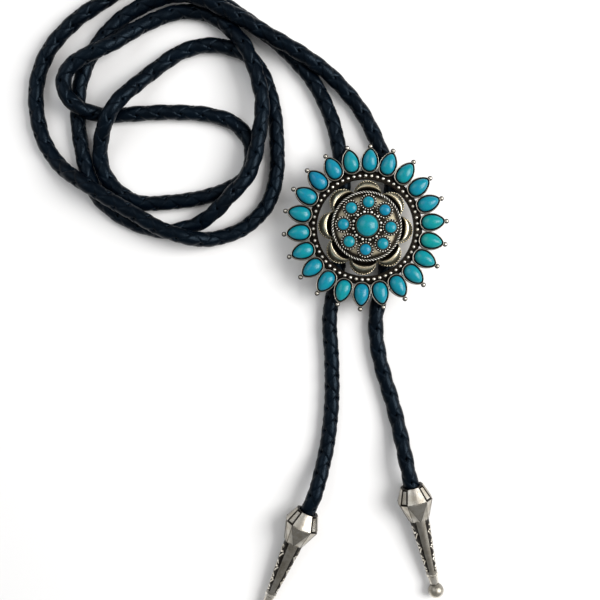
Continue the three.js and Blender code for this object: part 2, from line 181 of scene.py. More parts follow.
@dataclass(frozen=True)
class MetalFinish:
    """Cast metal, dark with oxide in its recesses and polished by rubbing on what stands proud; the same
    darkening also carries the painted shade that some pieces hold.
    """

    name: str
    bright: Colour
    oxide: Colour
    warm: Colour
    polish: float = 0.2
    dull: float = 0.5
    cloud: float = 420.0  # clouds of tarnish, per metre
    grain: float = 3800.0  # fine pits and scratches, per metre
    unevenness: float = 0.35
    pit_depth: float = 0.00004
    pit_strength: float = 0.5
    warm_band: Pair = (0.35, 0.65)  # where the clouds turn the metal from bright to warm
    dullest: float = 0.9  # the patina from which it is fully dull

    def material(self) -> Material:
        """Builds the node material."""
        material, desk, shader = blank_material(self.name)
        where = desk.where()
        cloud = desk.noise(where, self.cloud, 4.0)
        grain = desk.noise(where, self.grain, 3.0, 0.7)
        dark = desk.drift(desk.attribute(PATINA_AND_SHADE), cloud, self.unevenness)
        dark = desk.drift(dark, grain, self.unevenness, clamp=True)
        metal = desk.blend(desk.span(cloud, *self.warm_band, 0.0, 1.0), self.bright, self.warm)
        desk.feed(shader, "Base Color", desk.blend(dark, metal, self.oxide))
        desk.feed(shader, "Roughness", desk.span(dark, 0.0, self.dullest, self.polish, self.dull))
        desk.feed(shader, "Metallic", 1.0)
        desk.bump(shader, grain, self.pit_depth, self.pit_strength)
        return material


@dataclass(frozen=True)
class StoneFinish:
    """Polished opaque turquoise, bluer or greener by the stone's own tone, with faint clouds and painted
    shade that darkens it towards its rim.
    """

    name: str = "turquoise_stone"
    blue: Colour = (0.001, 0.160, 0.310, 1.0)
    green: Colour = (0.001, 0.260, 0.225, 1.0)
    vein: Colour = (0.001, 0.055, 0.085, 1.0)
    # painted shade: the colour that the stone darkens to towards its rim
    edge: Colour = (0.001, 0.022, 0.034, 1.0)
    cloud: float = 480.0  # clouds of hue, per metre
    hue_drift: float = 0.7
    mottle: float = 1900.0  # faint veins, per metre
    vein_band: Pair = (0.52, 0.75)  # where the mottling turns into vein
    vein_share: float = 0.55
    gloss: Pair = (0.17, 0.29)
    specular: float = 0.3
    ripple: float = 0.00003
    ripple_strength: float = 0.4

    def material(self) -> Material:
        """Builds the node material."""
        material, desk, shader = blank_material(self.name)
        where = desk.where()
        cloud = desk.noise(where, self.cloud)
        mottle = desk.noise(where, self.mottle, 5.0, 0.65)
        hue = desk.drift(desk.attribute(TONE), cloud, self.hue_drift, clamp=True)
        body = desk.blend(hue, self.blue, self.green)
        body = desk.blend(desk.span(mottle, *self.vein_band, 0.0, self.vein_share), body, self.vein)
        # painted shade: the attribute darkens the stone towards its rim
        desk.feed(shader, "Base Color", desk.blend(desk.attribute(PATINA_AND_SHADE), body, self.edge))
        desk.feed(shader, "Roughness", desk.span(mottle, *NOISE_BAND, *self.gloss))
        desk.feed(shader, "Specular IOR Level", self.specular)
        desk.bump(shader, cloud, self.ripple, self.ripple_strength)
        return material


@dataclass(frozen=True)
class LeatherFinish:
    """Black dyed leather thong with a blue cast, fine grain and painted shade in the furrows between the
    thongs.
    """

    name: str = "black_leather"
    dye: Colour = (0.0004, 0.0012, 0.0028, 1.0)
    worn: Colour = (0.0009, 0.0030, 0.0064, 1.0)
    # painted shade: the colour down in the furrows between the thongs
    furrow_shade: Colour = (0.0002, 0.0003, 0.0005, 1.0)
    grain: float = 2600.0  # pores, per metre
    cloud: float = 160.0  # patches of wear, per metre
    wear_band: Pair = (0.35, 0.7)  # where the clouds turn dye into wear
    gloss: Pair = (0.24, 0.40)
    furrow_dull: float = 0.35  # more roughness down in a furrow
    pore_depth: float = 0.00007
    pore_strength: float = 0.55
    specular: float = 0.12
    sheen: Colour = (0.54, 0.77, 1.0, 1.0)

    def material(self) -> Material:
        """Builds the node material."""
        material, desk, shader = blank_material(self.name)
        where = desk.where()
        depth = desk.attribute(PATINA_AND_SHADE)
        cloud = desk.noise(where, self.cloud)
        cell = desk.node("ShaderNodeTexVoronoi", {"Vector": where, "Scale": self.grain}).outputs["Distance"]
        pore = desk.noise(where, self.grain * 0.8, 4.0, 0.7)
        surface = desk.blend(desk.span(cloud, *self.wear_band, 0.0, 1.0), self.dye, self.worn)
        gloss = desk.span(pore, *NOISE_BAND, *self.gloss)
        # painted shade: darker towards the cord's middle, in the furrows between the thongs
        desk.feed(shader, "Base Color", desk.blend(depth, surface, self.furrow_shade))
        desk.feed(shader, "Roughness", desk.math("MULTIPLY_ADD", depth, self.furrow_dull, gloss))
        desk.feed(shader, "Specular IOR Level", self.specular)
        desk.feed(shader, "Specular Tint", self.sheen)
        desk.bump(shader, desk.math("ADD", cell, pore), self.pore_depth, self.pore_strength)
        return material


@dataclass(frozen=True)
class TableFinish:
    """Plain white board with a trace of tooth."""

    name: str = "white_board"
    light: Colour = (0.86, 0.86, 0.86, 1.0)
    shade: Colour = (0.83, 0.83, 0.835, 1.0)
    cloud: float = 9.0  # per metre
    dull: float = 0.8

    def material(self) -> Material:
        """Builds the node material."""
        material, desk, shader = blank_material(self.name)
        cloud = desk.noise(desk.where(), self.cloud, 2.0)
        desk.feed(shader, "Base Color", desk.blend(cloud, self.light, self.shade))
        desk.feed(shader, "Roughness", self.dull)
        return material


SILVER = MetalFinish("antique_silver", (0.80, 0.77, 0.70, 1), (0.012, 0.010, 0.008, 1), (0.70, 0.64, 0.53, 1))
BRASS = MetalFinish("antique_brass", (0.78, 0.72, 0.55, 1), (0.013, 0.011, 0.008, 1), (0.64, 0.55, 0.37, 1))
BEADS = MetalFinish(
    "rubbed_beads", (0.94, 0.92, 0.87, 1), (0.010, 0.009, 0.008, 1), (0.88, 0.84, 0.73, 1),
    polish=0.36, unevenness=0.2,
)
STEEL = MetalFinish(
    "plated_steel", (0.66, 0.67, 0.69, 1), (0.25, 0.25, 0.26, 1), (0.60, 0.60, 0.60, 1),
    polish=0.28, dull=0.4, cloud=250.0, grain=2600.0,
)


# --- Meshes ---


def ring_at(radius: float, z: float, angles: Sequence[float]) -> list[Vector]:
    """Points at one height and one distance from the axis."""
    return [Vector((radius * math.cos(t), radius * math.sin(t), z)) for t in angles]


def circle(radius: float, z: float, sides: int, start: float = 0.0) -> list[Vector]:
    """A ring of points, counter-clockwise from above."""
    step = TURN / sides
    return ring_at(radius, z, [start + step * i for i in range(sides)])


def show(made: Object) -> Object:
    """Puts a new object into the scene and returns it."""
    bpy.context.scene.collection.objects.link(made)
    return made


@dataclass
class Shell:
    """The points, faces and darkness (patina, and painted shade on some pieces) of one piece while it is
    made, in millimetres.
    """

    name: str
    points: list[Vector] = field(default_factory=list)
    faces: list[tuple[int, ...]] = field(default_factory=list)
    patina: list[float] = field(default_factory=list)

    def loft(self, rings: Sequence[Sequence[Vector]], patina: Sequence[float], loop: bool = False) -> None:
        """Skins a form through rings of points.

        Args:
            rings: rings listed from the bottom up, counter-clockwise; one point closes an end.
            patina: how dark each ring is.
            loop: joins the last ring to the first one, for a form with a hole.
        """
        starts = []
        for ring, dark in zip(rings, patina):
            starts.append(len(self.points))
            self.points.extend(ring)
            self.patina.extend([dark] * len(ring))
        pairs = list(zip(range(len(rings)), range(1, len(rings))))
        if loop:
            pairs.append((len(rings) - 1, 0))
        for low, high in pairs:
            a, b = starts[low], starts[high]
            lone_low, lone_high = len(rings[low]) == 1, len(rings[high]) == 1
            count = max(len(rings[low]), len(rings[high]))
            for i in range(count):
                j = (i + 1) % count
                if lone_low:
                    self.faces.append((a, b + j, b + i))
                elif lone_high:
                    self.faces.append((a + i, a + j, b))
                else:
                    self.faces.append((a + i, a + j, b + j, b + i))

    def revolve(self, profile: Sequence[Point], sides: int, loop: bool = False) -> None:
        """Turns a profile of (radius, height, patina) about Z; a radius of 0 closes an end."""
        rings = [circle(r, z, sides) if r > 0 else [Vector((0, 0, z))] for r, z, _ in profile]
        self.loft(rings, [dark for _, _, dark in profile], loop)

    def ball(
        self, radius: float, centre: Point, sides: int, rows: int, dark_below: float, bright_from: float = 0.5
    ) -> None:
        """Adds a ball that grows darker towards its lower pole.

        Args:
            radius: the ball's radius.
            centre: its middle.
            sides: faces round it.
            rows: faces from pole to pole.
            dark_below: how fast it darkens.
            bright_from: where it starts, as a share of the radius above the middle.
        """
        rings, patina = [], []
        for row in range(rows + 1):
            lift = -math.cos(math.pi * row / rows)
            r = radius * math.sqrt(max(0.0, 1 - lift * lift))
            ring = circle(r, radius * lift, sides) if 0 < row < rows else [Vector((0, 0, radius * lift))]
            rings.append([p + Vector(centre) for p in ring])
            patina.append(dark_below * max(0.0, min(1.0, bright_from - lift)))
        self.loft(rings, patina)

    def piece(
        self, material: Material, place: Matrix | None = None, crease: float = 38.0, tone: float | None = None
    ) -> Object:
        """Turns the shell into an object at the origin, its place in its mesh.

        Args:
            material: the finish.
            place: where the shell goes, in millimetres.
            crease: edges sharper than this many degrees stay crisp.
            tone: a stone's tone.

        Returns:
            The new object.
        """
        mesh = bpy.data.meshes.new(self.name)
        shift = Matrix.Scale(MM, 4) @ (place or Matrix())
        mesh.from_pydata([shift @ p for p in self.points], [], self.faces)
        mesh.attributes.new(PATINA_AND_SHADE, "FLOAT", "POINT").data.foreach_set("value", self.patina)
        if tone is not None:
            mesh.attributes.new(TONE, "FLOAT", "POINT").data.foreach_set("value", [tone] * len(self.points))
        mesh.materials.append(material)
        soften(mesh, crease)
        return show(bpy.data.objects.new(self.name, mesh))


def soften(mesh: bpy.types.Mesh, crease: float) -> None:
    """Smooths a mesh everywhere but at edges sharper than crease, in degrees."""
    mesh.polygons.foreach_set("use_smooth", [True] * len(mesh.polygons))
    mesh.set_sharp_from_angle(angle=math.radians(crease))
    mesh.update()


def settle(piece: Object, slot: Slot, *nodes: str) -> Object:
    """Rides a finished piece on the body, hides its CAD nodes and returns it."""
    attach(piece, BODY)
    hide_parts(*nodes)
    LOG.info("%s: %d faces, for %s", piece.name, len(piece.data.polygons), ", ".join(nodes))
    return piece


def bead(
    name: str, radius: float, z: float, sides: int = 8, rows: int = 6, dark_below: float = 1.0,
    bright_from: float = 0.5,
) -> Shell:
    """One ball on the axis, with the arguments of Shell.ball."""
    shell = Shell(name)
    shell.ball(radius, (0, 0, z), sides, rows, dark_below, bright_from)
    return shell


def set_stone(shell: Shell, node: str, look: Material, tone: float, place: Matrix | None = None) -> None:
    """Makes a stone of its shell, its tone in tenths, and lets it stand for its CAD node."""
    settle(shell.piece(look, place, crease=60.0, tone=tone / 10), Slot.STONE, node)


# --- Geometry Nodes ---


def new_tree(name: str, sockets: dict[str, str]) -> tuple[Desk, dict[str, Socket]]:
    """Starts a Geometry Nodes tree.

    Args:
        name: the tree's name.
        sockets: its inputs' names and kinds.

    Returns:
        The desk, and the inputs by name.
    """
    tree = bpy.data.node_groups.new(name, "GeometryNodeTree")
    tree.interface.new_socket("Geometry", in_out="OUTPUT", socket_type="NodeSocketGeometry")
    for label, kind in sockets.items():
        tree.interface.new_socket(label, in_out="INPUT", socket_type="NodeSocket" + kind)
    desk = Desk(tree)
    entry = desk.node("NodeGroupInput")
    return desk, {label: entry.outputs[label] for label in sockets}


def close_tree(desk: Desk, geometry: Socket, material: Socket) -> Tree:
    """Ends a tree in Realize Instances and Set Material, and returns it."""
    real = desk.node("GeometryNodeRealizeInstances", {"Geometry": geometry}).outputs[0]
    dressed = desk.node("GeometryNodeSetMaterial", {"Geometry": real, "Material": material}).outputs[0]
    desk.node("NodeGroupOutput", {"Geometry": dressed})
    return desk.tree


def row_tree() -> Tree:
    """A tree that stands copies of a template in a ring about Z, the first one towards +Y."""
    desk, given = new_tree(
        "row_round_the_middle",
        {
            "Template": "Object", "Count": "Int", "Radius": "Float", "First angle": "Float",
            "Material": "Material",
        },
    )
    index = desk.node("GeometryNodeInputIndex").outputs[0]
    step = desk.math("DIVIDE", -TURN, given["Count"])
    angle = desk.math("MULTIPLY_ADD", index, step, given["First angle"])
    turn = desk.node("FunctionNodeAxisAngleToRotation", {"Axis": (0, 0, 1), "Angle": angle}).outputs[0]
    arm = desk.node("ShaderNodeCombineXYZ", {"Y": given["Radius"]}).outputs[0]
    place = desk.node("FunctionNodeRotateVector", {"Vector": arm, "Rotation": turn}).outputs[0]
    points = desk.node("GeometryNodePoints", {"Count": given["Count"], "Position": place}).outputs[0]
    template = desk.node("GeometryNodeObjectInfo", {"Object": given["Template"]}).outputs["Geometry"]
    inputs = {"Points": points, "Instance": template, "Rotation": turn}
    copies = desk.node("GeometryNodeInstanceOnPoints", inputs)
    return close_tree(desk, copies.outputs[0], given["Material"])


@dataclass(frozen=True)
class Strand:
    """One strand of a braid or rope: how it winds, where it starts and where it lies on top."""

    hand: Hand
    start: float
    wave: float


def strand_tree(name: str, strands: Sequence[Strand]) -> Tree:
    """A tree that winds strands round a path, each over and under the others.

    Args:
        name: the tree's name.
        strands: the strands.

    Returns:
        The tree. Its patina, painted shade on the cord and oxide on the rope, is deepest nearest the path.
    """
    floats = (
        "Turns", "Lay radius", "Over and under", "Half width", "Half thickness", "Dark radius",
        "Light radius",
    )
    kinds = {"Path": "Object", "Sections": "Int", "Corners": "Int", "Material": "Material"}
    desk, given = new_tree(name, kinds | dict.fromkeys(floats, "Float"))
    line = desk.node("GeometryNodeObjectInfo", {"Object": given["Path"]}).outputs["Geometry"]
    line = desk.node("GeometryNodeResampleCurve", {"Curve": line, "Count": given["Sections"]}).outputs[0]
    factor = desk.node("GeometryNodeSplineParameter").outputs["Factor"]
    normal = desk.node("GeometryNodeInputNormal").outputs["Normal"]
    tangent = desk.node("GeometryNodeInputTangent").outputs[0]
    side = desk.vector("CROSS_PRODUCT", tangent, normal)
    here = desk.node("GeometryNodeInputPosition").outputs[0]
    turned = desk.math("MULTIPLY", factor, given["Turns"])
    halves = {"X": given["Half thickness"], "Y": given["Half width"], "Z": 1.0}
    size = desk.node("ShaderNodeCombineXYZ", halves)
    section = desk.node("GeometryNodeCurvePrimitiveCircle", {"Resolution": given["Corners"], "Radius": 1.0})
    section = desk.node("GeometryNodeTransform", {"Geometry": section.outputs[0], "Scale": size.outputs[0]})
    joined = desk.node("GeometryNodeJoinGeometry")
    for strand in strands:
        angle = desk.math("MULTIPLY_ADD", turned, TURN * strand.hand.value, strand.start)
        wave = desk.math("COSINE", desk.math("MULTIPLY_ADD", turned, 2 * TURN, strand.wave))
        radius = desk.math("MULTIPLY_ADD", wave, given["Over and under"], given["Lay radius"])
        out = desk.vector(
            "ADD",
            desk.vector("SCALE", normal, scale=desk.math("COSINE", angle)),
            desk.vector("SCALE", side, scale=desk.math("SINE", angle)),
        )
        held = desk.node("GeometryNodeCaptureAttribute", {"Geometry": line})
        for label in ("Out", "Middle"):
            held.capture_items.new("VECTOR", label)
        desk.feed(held, "Out", out)
        desk.feed(held, "Middle", here)
        offset = desk.vector("SCALE", out, scale=radius)
        moved = desk.node("GeometryNodeSetPosition", {"Geometry": held.outputs["Geometry"], "Offset": offset})
        facing = desk.node(
            "GeometryNodeSetCurveNormal",
            {"Curve": moved.outputs[0], "Normal": held.outputs["Out"]},
            mode="FREE",
        )
        tube = desk.node(
            "GeometryNodeCurveToMesh",
            {"Curve": facing.outputs[0], "Profile Curve": section.outputs[0], "Fill Caps": True},
        )
        depth = desk.vector("DISTANCE", here, held.outputs["Middle"])
        # darkest nearest the path: painted shade on the cord, oxide on the rope
        dark = desk.span(depth, given["Dark radius"], given["Light radius"], 1.0, 0.0)
        kept = desk.node(
            "GeometryNodeStoreNamedAttribute", {"Geometry": tube.outputs[0], "Name": PATINA_AND_SHADE, "Value": dark}
        )
        desk.feed(joined, 0, kept.outputs[0])
    return close_tree(desk, joined.outputs[0], given["Material"])


def grow(name: str, tree: Tree, values: dict[str, Any], crease: float = 60.0) -> Object:
    """Runs a tree and keeps its result as a plain mesh at the origin.

    Args:
        name: the new piece's name.
        tree: the tree.
        values: the tree's inputs by name.
        crease: edges sharper than this many degrees stay crisp.

    Returns:
        The new piece, with no modifier left on it.
    """
    host = bpy.data.objects.new(name, bpy.data.meshes.new(name + "_host"))
    modifier = host.modifiers.new("grow", "NODES")
    modifier.node_group = tree
    labels = {item.name: item.identifier for item in tree.interface.items_tree if item.in_out == "INPUT"}
    for label, value in values.items():
        modifier[labels[label]] = value
    show(host)
    bpy.context.view_layer.update()
    graph = bpy.context.evaluated_depsgraph_get()
    grown = host.evaluated_get(graph)
    mesh = bpy.data.meshes.new_from_object(grown, preserve_all_data_layers=True, depsgraph=graph)
    host.modifiers.clear()
    empty = host.data
    host.data = mesh
    bpy.data.meshes.remove(empty)
    mesh.name = name
    soften(mesh, crease)
    return host


def path_object(name: str, points: Sequence[Vector], closed: bool = False) -> Object:
    """A helper for a tree to follow: a line of points in metres, open or closed."""
    data = bpy.data.curves.new(name, "CURVE")
    data.dimensions = "3D"
    spline = data.splines.new("POLY")
    spline.points.add(len(points) - 1)
    spline.points.foreach_set("co", [value for p in points for value in (*p, 1.0)])
    spline.use_cyclic_u = closed
    return show(bpy.data.objects.new(name, data))


@dataclass(frozen=True)
class BeadRow:
    """A ring of beads, in millimetres."""

    radius: float
    z: float
    count: int
    row: float
    first: float = 0.0  # where the first one stands, in degrees from +Y


@dataclass
class Rows:
    """Stands copies of small shells in rings round the middle of the concho."""

    tree: Tree

    def ring(
        self, name: str, shell: Shell | Object, count: int, radius: float, look: Material,
        first: float = 0.0, crease: float = 38.0,
    ) -> Object:
        """Makes one ring.

        Args:
            name: the new piece's name.
            shell: what is repeated, in millimetres, or an object in metres.
            count: how many.
            radius: the ring's radius in millimetres.
            look: the finish.
            first: where the first one stands, in degrees from +Y.
            crease: edges sharper than this many degrees stay crisp.

        Returns:
            The new piece.
        """
        template = shell.piece(look, crease=crease) if isinstance(shell, Shell) else shell
        values = {
            "Template": template, "Count": count, "Radius": radius * MM,
            "First angle": math.radians(first), "Material": look,
        }
        made = grow(name, self.tree, values, crease)
        bpy.data.objects.remove(template)
        return made

    def beads(self, name: str, beads: BeadRow, look: Material) -> Object:
        """Makes one ring of beads."""
        shell = bead(name + "_bead", beads.radius, beads.z)
        return self.ring(name, shell, beads.count, beads.row, look, beads.first)


# --- Studio ---


@dataclass
class Studio:
    """White table, soft light from the right and a camera straight above."""

    over: Pair = (-0.01763, -0.02218)  # the point the camera looks down on
    height: float = 0.25
    lens: float = 50.0
    sensor: float = 36.0
    turn: float = 3.6  # degrees, counter-clockwise
    table: float = 1.6
    world: float = 0.36

    def camera(self) -> None:
        """Adds the camera."""
        data = bpy.data.cameras.new("camera")
        data.lens, data.sensor_width = self.lens, self.sensor
        data.clip_start = 0.01
        camera = show(bpy.data.objects.new("camera", data))
        camera.location = (*self.over, self.height)
        camera.rotation_euler = (0.0, 0.0, math.radians(self.turn))
        bpy.context.scene.camera = camera

    def lamp(self, name: str, place: Point, size: float, power: float, colour: Point) -> None:
        """Adds one square light, its power in watts, that faces the middle of the tie."""
        data = bpy.data.lights.new(name, "AREA")
        data.size, data.energy, data.color = size, power, colour
        lamp = show(bpy.data.objects.new(name, data))
        lamp.location = place
        aim = Vector((*self.over, 0.0)) - Vector(place)
        lamp.rotation_euler = aim.to_track_quat("-Z", "Y").to_euler()

    def light(self) -> None:
        """Adds the lights and the even light of the room."""
        self.lamp("key", (0.43, 0.05, 0.44), size=0.42, power=5.25, colour=(1.0, 0.99, 0.975))
        self.lamp("overhead", (0.15, 0.10, 0.50), size=0.20, power=0.22, colour=(1.0, 0.93, 0.88))
        self.lamp("fill", (-0.42, 0.22, 0.52), size=0.50, power=1.3, colour=(0.96, 0.98, 1.0))
        world = bpy.data.worlds.new("room")
        world.use_nodes = True
        ground = next(n for n in world.node_tree.nodes if n.type == "BACKGROUND")
        ground.inputs["Color"].default_value = (1.0, 1.0, 1.0, 1.0)
        ground.inputs["Strength"].default_value = self.world
        bpy.context.scene.world = world
        bpy.context.scene.view_settings.view_transform = "Standard"

    def floor(self) -> None:
        """Lays the white table."""
        half = self.table / 2
        mesh = bpy.data.meshes.new("table")
        corners = [(-half, -half, 0), (half, -half, 0), (half, half, 0), (-half, half, 0)]
        mesh.from_pydata(corners, [], [(0, 1, 2, 3)])
        mesh.materials.append(TableFinish().material())
        show(bpy.data.objects.new("table", mesh))


# --- Tips ---


@dataclass
class Tip:
    """A cord tip along +Z from its mouth: faceted bead, engraved cone, smooth band and ball."""

    name: str
    node: str
    x: float
    y: float
    heading: float
    mouth: Pair = (3.0, 1.6)  # from the axis to the wide facets, and their half width
    waist: Pair = (4.7, 2.85)
    girdle: float = 4.2
    bead_end: float = 10.3
    neck_r: float = 2.95
    end_r: float = 1.3
    band: float = 27.4
    step: float = 0.15
    ball: float = 32.7
    ball_r: float = 2.3
    socket: Pair = (2.45, 1.02)
    lip: Pair = (2.57, 1.1)  # where the socket's chamfer meets the mouth
    chamfer: float = 0.12
    socket_end: float = 5.3
    lift: float = 0.05  # clear of the table
    ridge: float = 0.28  # how far the leaves' middles stand out
    crown: float = 0.36  # and the wide facets' middles
    around: int = 96
    along: int = 130
    cut: float = 0.14  # depth of the engraving
    line_half: float = 0.15  # half width of the scroll's lines
    flank: float = 0.1  # width of their flanks
    sunk: float = 0.3  # how far the cone starts inside the bead
    side_half: float = 1.08  # half width of an engraved side against the radius
    plain: float = 1.2  # the smooth end of an engraved side
    stripe_painted_shade: float = 0.68  # painted shade on the smooth stripes between the sides, in place of their dark reflection
    first_curl: float = 2.1  # from the bead to the first curl's middle
    last_curl: float = 1.6  # the last one's middle is at least this far from the band
    curl: float = 0.46  # a curl's radius against the cone's
    curl_turn: float = 2.2  # half turns in a curl

    @property
    def pitch(self) -> float:
        """How far the axis dips towards the ball, which rests on the table as the waist does."""
        return math.asin((self.waist[0] - self.ball_r) / (self.ball - self.girdle))

    def place(self) -> Matrix:
        """Where the tip lies, in millimetres."""
        mouth_z = self.lift + self.waist[0] * math.cos(self.pitch) + self.girdle * math.sin(self.pitch)
        lie = Matrix.Rotation(math.pi / 2 + self.pitch, 4, "Y")
        turn = Matrix.Rotation(math.radians(self.heading), 4, "Z")
        return Matrix.Translation((self.x, self.y, mouth_z)) @ turn @ lie

    def cord_end(self) -> list[Vector]:
        """The cord's own points in and before the tip: inside the socket, at the mouth, outside."""
        return [self.place() @ Vector((0, 0, z)) for z in (5.0, 0.0, -5.0)]

    def taper(self, z: float) -> float:
        """The cone's radius at a distance from the mouth."""
        share = (z - self.bead_end) / (self.ball - self.ball_r - self.bead_end)
        return self.neck_r + (self.end_r - self.neck_r) * share

    @staticmethod
    def square(size: Pair, z: float) -> list[Vector]:
        """A square ring with cut corners: size is the distance to its sides and their half width."""
        lean, radius = math.atan2(size[1], size[0]), math.hypot(*size)
        angles = [side * math.pi / 2 + sign * lean for side in range(4) for sign in (-1, 1)]
        return ring_at(radius, z, angles)

    def bead(self, shell: Shell) -> None:
        """Adds the faceted bead: wide facets, ribs between slits at the corners, and ridged leaves."""
        bare = Shell("bead")
        rings = [
            [Vector((0, 0, self.socket_end))],
            self.square(self.socket, self.socket_end),
            self.square(self.socket, self.chamfer),
            self.square(self.lip, 0.0),
            self.square(self.mouth, 0.0),
            self.square(self.waist, self.girdle),
        ]
        bare.loft(rings, [1.0] * len(rings))
        work = bmesh.new()
        dark = work.verts.layers.float.new(PATINA_AND_SHADE)
        verts = [work.verts.new(p) for p in bare.points]
        flats, ribs, leaves, webs = [], [], [], []
        for face in bare.faces:
            made = work.faces.new([verts[i] for i in face])
            if min(face) >= len(verts) - 16:  # between the mouth's ring and the waist's
                (flats if len(flats) == len(ribs) else ribs).append([made])
        waist = verts[-8:]
        end = [work.verts.new(p) for p in circle(self.neck_r, self.bead_end, 8, -math.pi / 4)]
        for i in range(8):
            j = (i + 1) % 8
            webs.append([work.faces.new((waist[i], end[j], end[i]))])
            if i % 2:
                webs.append([work.faces.new((waist[i], waist[j], end[j]))])
                continue
            middle = (waist[i].co + waist[j].co) / 2
            out = Vector((middle.x, middle.y, 0)).normalized()
            ridge = work.verts.new(middle + out * self.ridge + Vector((0, 0, self.ridge)))
            leaves.append([
                work.faces.new((waist[i], waist[j], ridge)),
                work.faces.new((waist[i], ridge, end[j])),
                work.faces.new((ridge, waist[j], end[j])),
            ])
        work.faces.new(end)
        for vert in work.verts:
            vert[dark] = 1.0
        cuts = (  # the faces, their inset, how far they rise, and their patina then; the wide flats' value is painted shade that dims their reflection
            (flats, 0.07, 0.05, 0.5), (leaves, 0.13, 0.06, 0.62), (webs, 0.16, 0.05, 0.35),
            (ribs, 0.5, -0.2, 1.0), (ribs, 0.05, 0.26, 0.0),
        )
        for regions, thickness, depth, patina in cuts:
            for region in regions:
                known = set(work.verts)
                bmesh.ops.inset_region(
                    work, faces=region, thickness=thickness, depth=depth, use_even_offset=True
                )
                for vert in set(work.verts) - known:
                    vert[dark] = 1.0
                for vert in {vert for face in region for vert in face.verts}:
                    vert[dark] = patina
        for (face,) in flats:
            edges = sorted(face.edges, key=lambda edge: abs(edge.verts[0].co.z - edge.verts[1].co.z))
            middles = [bmesh.utils.edge_split(edge, edge.verts[0], 0.5)[1] for edge in edges[:2]]
            bmesh.utils.face_split(face, *middles)
            for middle in middles:
                if middle.co.x < self.end_r:  # the facet on the table stays flat
                    middle.co += Vector((middle.co.x, middle.co.y, 0)).normalized() * self.crown
        work.verts.index_update()
        base = len(shell.points)
        shell.points.extend(v.co.copy() for v in work.verts)
        shell.patina.extend(v[dark] for v in work.verts)
        shell.faces.extend(tuple(base + v.index for v in f.verts) for f in work.faces)
        work.free()

    def scroll(self) -> np.ndarray:
        """The engraved lines on one side as segments of (distance from the mouth, width across)."""
        segments = []
        z, side = self.bead_end + self.first_curl, 1
        while z < self.band - self.last_curl:
            size = self.taper(z) * self.curl
            turns = np.linspace(0.3, 1.0, 26) * self.curl_turn * math.pi
            reach = size * turns / turns[-1]
            centre = np.array([z, side * size * 0.9])
            round_it = np.stack([np.cos(turns * side), 0.95 * np.sin(turns * side)], 1)
            curl = centre + reach[:, None] * round_it
            stem = np.linspace(curl[-1], [z + 2.0 * size, -side * size * 1.3], 6)
            leaf = np.linspace([z - size * 0.9, -side * size * 1.9], [z + size * 0.5, -side * size * 0.7], 5)
            for line in (curl, stem, leaf):
                segments.append(np.stack([line[:-1], line[1:]], 1))
            z += 2.0 * size
            side = -side
        return np.concatenate(segments)

    def cone(self, shell: Shell) -> None:
        """Adds the cone with its engraved sides and smooth stripes above and below."""
        segments = self.scroll()
        start, span = segments[:, 0], segments[:, 1] - segments[:, 0]
        long = np.maximum((span**2).sum(1), 1e-9)
        low = self.bead_end - self.sunk
        angles = TURN * np.arange(self.around) / self.around
        turned = np.abs(((angles + math.pi) % TURN) - math.pi) - math.pi / 2  # from each side's middle
        rings, patina = [[Vector((0, 0, low))]], [1.0]
        for row in range(self.along + 1):
            z = low + (self.band - low) * row / self.along
            r = self.taper(z)
            across = turned * r
            where = np.stack([np.full(self.around, z), across], 1)
            share = np.clip(((where[:, None] - start) * span).sum(2) / long, 0, 1)
            near = np.linalg.norm(where[:, None] - start - share[..., None] * span, axis=2).min(1)
            ground = np.clip((near - self.line_half) / self.flank, 0, 1)
            carved = (np.abs(across) < self.side_half * r) & (self.bead_end < z < self.band - self.plain)
            groove = np.where(carved, ground, 0.0)
            radii = r - self.cut * groove
            rings.append([Vector((q * math.cos(t), q * math.sin(t), z)) for q, t in zip(radii, angles)])
            # the smooth stripes get painted shade in place of their dark reflection
            patina.extend(np.where(carved, groove, self.stripe_painted_shade))
        shell.loft(rings, [0.0] * len(rings))
        shell.patina[-len(patina):] = patina

    def tail(self, shell: Shell) -> None:
        """Adds the smooth band and the ball that the tip ends in."""
        top, band, neck = self.taper(self.band), self.band, self.ball - self.ball_r
        profile = [
            (0, band - 0.4, 1), (top * 0.9, band - 0.4, 1), (top + 0.02, band - 0.3, 0.6),
            (top + 0.16, band - 0.15, 0), (top + 0.16, band + 0.35, 0), (top - 0.05, band + 0.55, 0.9),
            (top - self.step, band + 0.7, 0.2), (self.end_r, neck - 0.35, 0.1),
            (self.end_r - 0.05, neck, 0.8), (self.end_r, self.ball, 1), (0, self.ball, 1),
        ]
        shell.revolve(profile, 40)
        shell.ball(self.ball_r, (0, 0, self.ball), 36, 20, 0.6, 0.75)

    def build(self, look: Material) -> Object:
        """Makes the tip and lays it in its place."""
        shell = Shell(self.name)
        self.bead(shell)
        self.cone(shell)
        self.tail(shell)
        return settle(shell.piece(look, self.place(), crease=28.0), Slot.SILVER, self.node)


LEFT_TIP = Tip("left_tip", "tip_left", -11.5, -84.0, -109.9)
RIGHT_TIP = Tip("right_tip", "tip_right", 18.5, -74.6, -72.9)


# --- Cord ---


